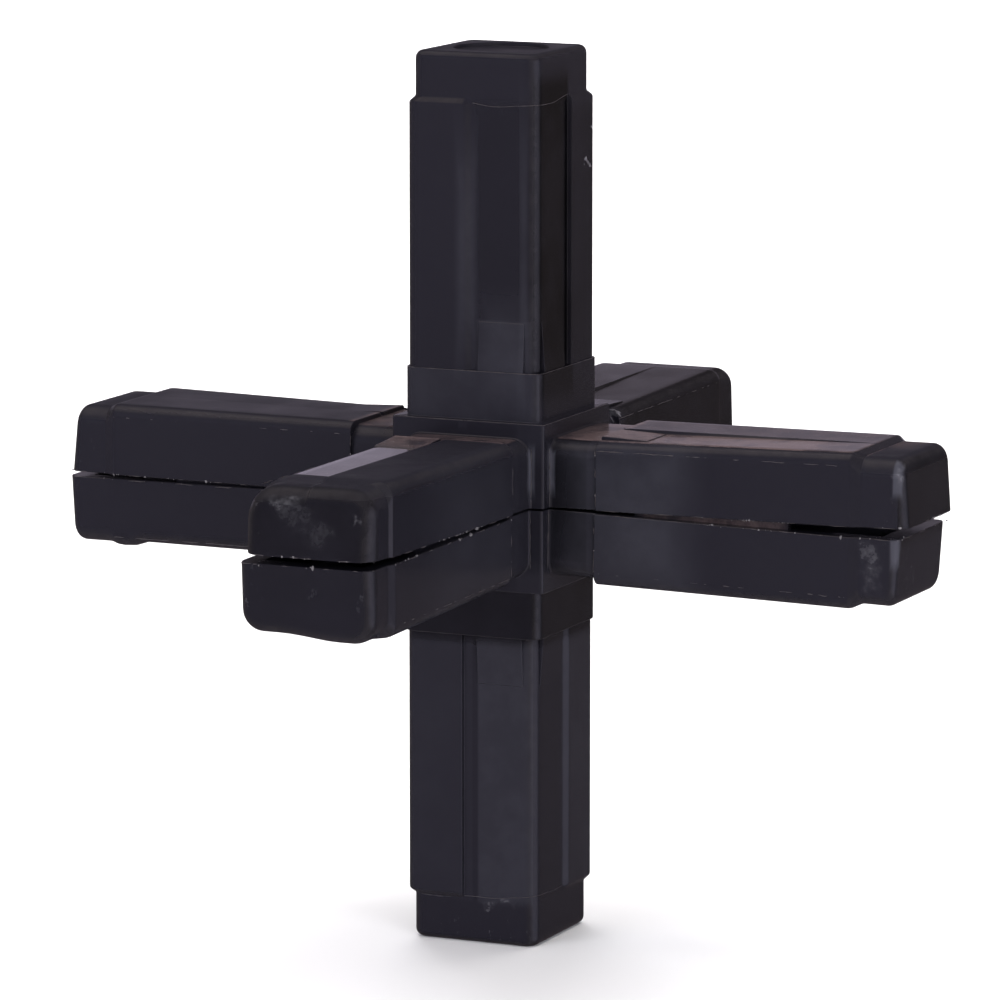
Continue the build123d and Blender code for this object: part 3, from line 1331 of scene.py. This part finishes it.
# Pale smears, partly real smears and partly painted highlights, such as those on the edge of the +X
# tip and at the start of the back arm's pad.
SMEARS_AND_HIGHLIGHTS = Patchwork("pale_smears_and_highlights", scale=1300.0, breaks=0.75, core=0.0, warp=5.0, rounded=True,
                    patches=(
    Patch((-3.6, -68.2, 8.3), (3.0, 2.5, 1.3), 0.32),
    Patch((-1.8, -68.2, 6.6), (4.2, 2.5, 2.6), 0.13),
    Patch((2.2, -68.2, 4.2), (3.0, 2.5, 2.4), 0.08),
    Patch((7.9, -68.0, 7.2), (0.7, 2.0, 1.4), 0.25),
    Patch((63.6, -10.4, -3.2), (2.0, 1.4, 2.6), 0.27),
    Patch((64.0, -10.4, -6.4), (2.4, 1.4, 4.2), 0.14),
    Patch((67.8, -9.7, 9.2), (1.2, 1.3, 2.4), 0.5),
    Patch((10.9, 7.7, 50.0), (0.8, 2.5, 0.7), 2.0),
    Patch((10.9, 9.3, 55.2), (0.7, 0.9, 0.6), 2.0),
    Patch((4.0, -10.6, -61.2), (4.0, 1.2, 1.0), 0.3),
    Patch((10.4, 20.3, 9.8), (1.3, 1.0, 1.4), 0.9),
))
PATCHWORKS = (POLISHED, DULL, DUST_AND_SHEEN, SHADED, PAINTED_LIGHT_PATCHES, SOFT_HIGHLIGHT_PATCHES, SMEARS_AND_HIGHLIGHTS)


class Effects:
    """Node groups of the finish, each built once."""

    def __init__(self) -> None:
        """Builds the groups."""
        self.groups = [self._grain(), self._edge_shine(), self._scuffs()]
        self.groups += [patchwork.build() for patchwork in PATCHWORKS]

    @staticmethod
    def _grain() -> bpy.types.NodeTree:
        """Fine grain of the mould's surface, over slow waves where the plastic shrank."""
        tools = Group("mould_grain", Grain=1.0, Waves=1.0)
        where = tools.given["Vector"]
        fine = tools.noise(where, 5200.0, detail=3.0, roughness=0.6)
        orange_peel = tools.noise(where, 900.0, detail=1.0)
        waves = tools.noise(where, 75.0, detail=1.0)
        height = tools.math("MULTIPLY", fine, tools.given["Grain"])
        height = tools.math("ADD", height, tools.math("MULTIPLY", orange_peel, 0.8))
        height = tools.math("ADD", height, tools.math("MULTIPLY", waves, tools.given["Waves"]))
        return tools.closed(Height=height, Cloud=tools.noise(where, 90.0))

    @staticmethod
    def _edge_shine() -> bpy.types.NodeTree:
        """A mask of the rounded edges: 1 where the surface faces none of the main axes."""
        tools = Group("edge_shine", Breaks=0.5)
        # The material lightens these edges: partly rubbed skin, partly a painted highlight.
        facing = tools.largest(tools.node("NewGeometry").outputs["Normal"])
        turned = tools.spread(tools.math("SUBTRACT", 1.0, facing), 0.02, 0.22)
        patches = tools.noise(tools.given["Vector"], 420.0, detail=4.0, roughness=0.7)
        broken = tools.math("MULTIPLY", tools.given["Breaks"], tools.spread(patches, 0.38, 0.62))
        kept = tools.math("SUBTRACT", 1.0, broken)
        return tools.closed(Mask=tools.math("MULTIPLY", turned, kept))

    @staticmethod
    def _scuffs() -> bpy.types.NodeTree:
        """Short pale rubs, denser towards the ends of the arms."""
        tools = Group("end_scuffs", Amount=0.5)
        where = tools.given["Vector"]
        stretch = {"Vector": where, "Scale": (1.0, 1.6, 0.7), "Rotation": (0.3, 0.5, 0.2)}
        stretched = tools.node("Mapping", stretch).outputs[0]
        rubs = tools.spread(tools.noise(stretched, 900.0, detail=5.0, roughness=0.75), 0.6, 0.74)
        places = tools.spread(tools.noise(where, 130.0), 0.5, 0.66)
        near_end = tools.spread(tools.vector("LENGTH", where, out="Value"), 0.058, 0.069, 0.0, 0.5)
        amount = tools.math("MULTIPLY", near_end, tools.given["Amount"])
        bright = tools.math("MULTIPLY", rubs, places)
        return tools.closed(Mask=tools.math("MULTIPLY", bright, amount))


def new_material(name: str, values: dict) -> tuple[bpy.types.Material, bpy.types.Node]:
    """A material with its shader.

    Args:
        name: Its name.
        values: Values of the shader's inputs, by name.

    Returns:
        The material and the shader.
    """
    material = bpy.data.materials.new(name)
    material.use_nodes = True
    shader = material.node_tree.nodes["Principled BSDF"]
    for label, value in values.items():
        shader.inputs[label].default_value = value
    return material, shader


@dataclass(frozen=True)
class MouldedPlastic:
    """Finish of the mouldings: black nylon with a satin skin, brighter on rounded edges, where
    rubbed skin and a painted highlight are mixed.

    Attributes:
        name: Name of the material.
        skin: Colour of the plastic.
        edge_wear_and_highlight: Colour of the rounded edges: rubbed skin with a painted highlight.
        scuff_and_highlight: Colour of scuffs and smears, and of the painted highlights among the
            smears.
        dust_and_sheen: Colour of the brownish film: dust and painted sheen.
        painted_light: Colour of the painted light and of the soft painted highlights.
        edge_wear_and_highlight_share: How much of that colour the edges have.
        roughness: Roughness of the skin.
        cloudy: How far the roughness goes below and above it.
        cloud_range: Values of the noise between which it goes from one to the other.
        edge_roughness: Roughness of rubbed edges.
        scuff_roughness: Roughness that scuffs, smears and their painted highlights add.
        dull_roughness: Roughness that the dull patches add.
        coat_roughness: Roughness of the polished patches.
        specular: Strength of the reflection, 0.5 for common plastic.
        grain: Height of the fine grain, in metres.
    """

    name: str = "black_nylon"
    skin: Triple = (0.0115, 0.0109, 0.0157)
    edge_wear_and_highlight: Triple = (0.026, 0.0235, 0.026)
    scuff_and_highlight: Triple = (0.20, 0.195, 0.215)
    dust_and_sheen: Triple = (0.096, 0.068, 0.068)
    painted_light: Triple = (0.046, 0.046, 0.058)
    edge_wear_and_highlight_share: float = 0.5
    roughness: float = 0.24
    cloudy: Pair = (-0.03, 0.025)
    cloud_range: Pair = (0.3, 0.7)
    edge_roughness: float = 0.20
    scuff_roughness: float = 0.3
    dull_roughness: float = 0.4
    coat_roughness: float = 0.06
    specular: float = 0.42
    grain: float = 0.0000016

    def build(self, effects: Effects) -> bpy.types.Material:
        """The material: colours in layers over the skin, a cloudy roughness and the grain.

        Args:
            effects: The shared node groups.

        Returns:
            The material.
        """
        fixed = {"Coat Roughness": self.coat_roughness, "Specular IOR Level": self.specular}
        material, shader = new_material(self.name, fixed)
        tools = Sockets(material.node_tree)
        link = material.node_tree.links.new
        where = tools.node("TexCoord").outputs["Object"]
        groups = [tools.node("Group", node_tree=group) for group in effects.groups]
        for group in groups:
            link(where, group.inputs["Vector"])
        grain = groups[0].outputs
        edges, scuffs, polish, dull, dust_and_sheen, shade, painted_light, soft_highlights, smears_and_highlights = (
            group.outputs["Mask"] for group in groups[1:]
        )
        wear_and_highlights = tools.math("ADD", scuffs, smears_and_highlights, clamp=True)
        edge_wear_and_highlight = tools.math("MULTIPLY", edges, self.edge_wear_and_highlight_share)
        # The layers over the skin: painted shade, edge wear with painted highlight, dust with
        # painted sheen, painted light, soft painted highlights, then scuffs and smears with painted
        # highlights.
        layers = (
            (shade, (0.0, 0.0, 0.0)), (edge_wear_and_highlight, self.edge_wear_and_highlight), (dust_and_sheen, self.dust_and_sheen),
            (painted_light, self.painted_light), (soft_highlights, self.painted_light), (wear_and_highlights, self.scuff_and_highlight),
        )
        colour = (*self.skin, 1.0)
        for amount, tint in layers:
            inputs = {"Factor": amount, 6: colour, 7: (*tint, 1.0)}
            colour = tools.node("Mix", inputs, data_type="RGBA").outputs[2]
        smooth, rough = (self.roughness + change for change in self.cloudy)
        cloud = tools.spread(grain["Cloud"], *self.cloud_range, smooth, rough)
        worn = tools.math("MULTIPLY", edges, self.roughness - self.edge_roughness)
        rough = tools.math("SUBTRACT", cloud, worn)
        for mask, added in ((wear_and_highlights, self.scuff_roughness), (dull, self.dull_roughness)):
            rough = tools.math("ADD", rough, tools.math("MULTIPLY", mask, added), clamp=True)
        inputs = {"Distance": self.grain, "Strength": 1.0, "Height": grain["Height"]}
        link(colour, shader.inputs["Base Color"])
        link(polish, shader.inputs["Coat Weight"])
        link(rough, shader.inputs["Roughness"])
        link(tools.node("Bump", inputs).outputs["Normal"], shader.inputs["Normal"])
        return material


@dataclass(frozen=True)
class Glow:
    """A soft bright area of the room.

    Attributes:
        direction: Where its middle is, seen from the object.
        core: Angle from its middle up to which it has its full brightness, in degrees.
        reach: Angle at which it has faded away.
        colour: Its brightness in red, green and blue.
    """

    direction: Triple
    core: float
    reach: float
    colour: Triple


@dataclass(frozen=True)
class Lamp:
    """A square soft light that faces the object.

    Attributes:
        name: Its name.
        place: Where it stands, in metres.
        size: Its width.
        power: Its power in watts.
        colour: Its colour.
    """

    name: str
    place: Triple
    size: float
    power: float
    colour: Triple

    def build(self) -> None:
        """Adds the light to the scene. The plastic doesn't mirror it."""
        data = bpy.data.lights.new(self.name, "AREA")
        data.shape = "SQUARE"
        data.size = self.size
        data.energy = self.power
        data.color = self.colour
        light = linked(self.name, data)
        light.location = self.place
        light.rotation_euler = (-Vector(self.place)).to_track_quat("-Z", "Y").to_euler()
        light.visible_glossy = False


@dataclass(frozen=True)
class Studio:
    """Plain pale floor, soft lights and the camera.

    The backdrop is bright up to a few degrees above the horizon, where the tops of the
    arms mirror it, and only behind the object.

    Attributes:
        floor_height: Height of the floor, in metres.
        floor_reach: Half the width of the floor.
        floor_grey: Its colour.
        camera_azimuth: Direction of the camera round the object, in degrees.
        camera_elevation: Height of the camera above the horizon, in degrees.
        camera_distance: Distance of the camera from the middle of the hub.
        lens: Focal length for the sensor's width.
        sensor: Width of the sensor, in millimetres.
        origin_pixel: Where the middle of the hub lands in the image.
        image_size: Width and height of the image, in pixels.
        room: Colour of the dim room.
        room_fade: Heights of a direction between which the room gets darker, and how dark.
        backdrop: Colour of the bright backdrop, as the plastic mirrors it.
        backdrop_side: Direction of its middle.
        backdrop_ends: Cosines of the angles between which it fades at both ends.
        backdrop_top: Heights of a direction between which it fades at its top.
        backdrop_foot: The same at its foot.
        glows: Soft bright areas of the room.
        lamps: A large light overhead, and weaker ones round the object.
    """

    floor_height: float
    floor_reach: float = 6.0
    floor_grey: Four = (0.94, 0.94, 0.94, 1.0)
    camera_azimuth: float = 24.174
    camera_elevation: float = 9.305
    camera_distance: float = 0.97769
    lens: float = 231.93
    sensor: float = 36.0
    origin_pixel: Pair = (501.48, 492.62)
    image_size: float = 1000.0
    room: Triple = (0.105, 0.088, 0.094)
    room_fade: Four = (0.5, 0.1, 0.35, 1.0)
    backdrop: Triple = (0.32, 0.29, 0.385)
    backdrop_side: Triple = (-0.41, 0.91, 0.0)
    backdrop_ends: Pair = (0.70, 0.90)
    backdrop_top: Pair = (0.19, 0.14)
    backdrop_foot: Pair = (-0.02, 0.03)
    glows: tuple[Glow, ...] = (
        Glow((-0.41, -0.91, -0.12), 28.0, 62.0, (0.06, 0.055, 0.10)),
        Glow((0.98, -0.02, -0.12), 6.0, 40.0, (0.55, 0.54, 0.73)),
        Glow((-0.36, -0.12, 0.92), 14.0, 38.0, (0.48, 0.41, 0.40)),
    )
    lamps: tuple[Lamp, ...] = (
        Lamp("overhead", (-0.1, 0.7, 2.6), 3.0, 120.0, (1.0, 0.98, 0.97)),
        Lamp("front_left", (-0.9, -1.9, 0.7), 1.4, 26.0, (0.92, 0.94, 1.0)),
        Lamp("front_right", (1.6, -1.5, 0.7), 1.4, 30.0, (0.95, 0.95, 1.0)),
        Lamp("back_left", (-1.2, 2.0, 0.8), 1.4, 34.0, (0.95, 0.95, 1.0)),
    )

    def build_floor(self) -> None:
        """Adds a wide level floor of a pale matt colour, which the plastic doesn't mirror."""
        reach, height = self.floor_reach, self.floor_height
        mesh = bpy.data.meshes.new("floor")
        corners = ((-reach, -reach), (reach, -reach), (reach, reach), (-reach, reach))
        mesh.from_pydata([(x, y, height) for x, y in corners], [], [(0, 1, 2, 3)])
        floor = linked("floor", mesh)
        floor.visible_glossy = False
        matt = {"Base Color": self.floor_grey, "Roughness": 0.9, "Specular IOR Level": 0.0}
        mesh.materials.append(new_material("pale_floor", matt)[0])
        floor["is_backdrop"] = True

    def build_world(self) -> None:
        """Adds the surroundings that the plastic mirrors: a dim room with bright areas.

        The colour in a direction is the sum of the colours of the room, of the backdrop
        and of the glows, each times its own smooth mask.
        """
        world = bpy.data.worlds.new("studio_room")
        world.use_nodes = True
        bpy.context.scene.world = world
        tools = Sockets(world.node_tree)
        towards = tools.node("TexCoord").outputs["Generated"]
        height = tools.node("SeparateXYZ", {0: towards}).outputs[2]

        def near(direction: Triple, faded: float, full: float) -> Socket:
            """A mask round a direction, between two cosines."""
            cosine = tools.vector("DOT_PRODUCT", towards, direction, out="Value")
            return tools.spread(cosine, faded, full)

        backdrop = near(self.backdrop_side, *self.backdrop_ends)
        for fade in (self.backdrop_top, self.backdrop_foot):
            backdrop = tools.math("MULTIPLY", tools.spread(height, *fade), backdrop)
        areas = [(tools.spread(height, *self.room_fade), self.room), (backdrop, self.backdrop)]
        for glow in self.glows:
            faded, full = (math.cos(math.radians(angle)) for angle in (glow.reach, glow.core))
            middle = Vector(glow.direction).normalized()
            areas.append((near(middle, faded, full), glow.colour))
        total = (0.0, 0.0, 0.0)
        for amount, colour in areas:
            tinted = tools.node("VectorMath", {0: colour, "Scale": amount}, operation="SCALE")
            total = tools.vector("ADD", total, tinted.outputs["Vector"])
        world.node_tree.links.new(total, world.node_tree.nodes["Background"].inputs["Color"])

    def build_camera(self) -> None:
        """Adds the camera at the photograph's angle, aimed at the middle of the hub."""
        azimuth, elevation = math.radians(self.camera_azimuth), math.radians(self.camera_elevation)
        level = math.cos(elevation)
        away = Vector((math.sin(azimuth) * level, -math.cos(azimuth) * level, math.sin(elevation)))
        data = bpy.data.cameras.new("camera")
        data.lens = self.lens
        data.sensor_width = self.sensor
        middle = self.image_size / 2
        data.shift_x = (middle - self.origin_pixel[0]) / self.image_size
        data.shift_y = (self.origin_pixel[1] - middle) / self.image_size
        camera = linked("camera", data)
        camera.location = away * self.camera_distance
        camera.rotation_euler = (-away).to_track_quat("-Z", "Y").to_euler()
        bpy.context.scene.camera = camera

    def build(self) -> None:
        """Adds everything that stands round the object."""
        self.build_floor()
        self.build_world()
        for lamp in self.lamps:
            lamp.build()
        self.build_camera()
        bpy.context.scene.view_settings.view_transform = "Standard"


def trim_finish(name: str, colour: Triple) -> bpy.types.Material:
    """A plain satin finish for the lips and crumbs."""
    return new_material(name, {"Base Color": (*colour, 1.0), "Roughness": 0.4})[0]


def dress(piece: bpy.types.Object, material: bpy.types.Material,
          node: Optional[str] = None) -> None:
    """Gives a piece its finish and ties it to the frame.

    Args:
        piece: The piece.
        material: Its finish.
        node: The CAD node that it stands for, if it does.
    """
    piece.data.materials.clear()
    piece.data.materials.append(material)
    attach(piece, "root")
    if node is not None:
        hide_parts(node)
    LOG.info("%s: %d faces, finish %s", piece.name, len(piece.data.polygons), material.name)


def mouldings() -> tuple[Moulding, Moulding]:
    """The two halves, with the wear and unevenness of this one copy."""
    plain, worn = SplitArm(), Side(10.3, 10.25, 2.8)
    upper_arms = (
        replace(plain, end=69.3, end_draft=3.5, end_round=2.0),
        replace(plain, end=69.0, end_draft=4.0),
        replace(plain, end=68.5, end_draft=5.5),
        replace(
            plain, panel_near=worn, panel_far=Side(10.25, 10.05, 3.2), end_round=3.0,
            tip_left=Side(10.25, 10.3, 3.8), tip_right=Side(10.25, 10.1, 5.2),
            chamfer=3.0, chamfer_ease=1.2,
        ),
    )
    lower_arms = (
        plain,
        plain,
        replace(
            plain, tip_left=Side(10.75, 10.25, 3.2), tip_right=Side(10.4, 11.0, 3.6),
            end_round=2.2, step_width=12.0,
        ),
        replace(plain, panel_near=worn, panel_far=Side(10.25, 9.9, 2.4), lug=0.8, end=68.6),
    )
    return (
        Moulding(Half.UPPER, leans=(0.45, 0.5, 0.2, 0.45), arms=upper_arms),
        Moulding(Half.LOWER, leans=(0.5, 0.95, 0.45, 0.25), arms=lower_arms),
    )


def main() -> None:
    """Builds the mouldings, their small marks and the studio."""
    logging.basicConfig(level=logging.INFO, format="%(name)s: %(message)s")
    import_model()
    cad_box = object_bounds()
    plastic = MouldedPlastic().build(Effects())
    # The lips are paler than the skin: flash with a painted highlight along the edges.
    lips = trim_finish("pale_lips_and_highlights", (0.046, 0.040, 0.043))
    # The crumbs are real flash, but their pale colour is a painted glint.
    crumbs = trim_finish("crumbs_with_painted_glints", (0.17, 0.16, 0.17))
    # The lip round the hub shows less on the lower half
    rims = {Half.UPPER: 0.055, Half.LOWER: 0.02}
    for seed, moulding in enumerate(mouldings()):
        dress(moulding.build(), plastic, moulding.half.value)
        flash = Flash(moulding, seed, rim=rims[moulding.half])
        for piece, finish in zip(flash.build(), (lips, crumbs)):
            dress(piece, finish)
    Studio(floor_height=cad_box[0].z).build()


if __name__ == "__main__":
    main()
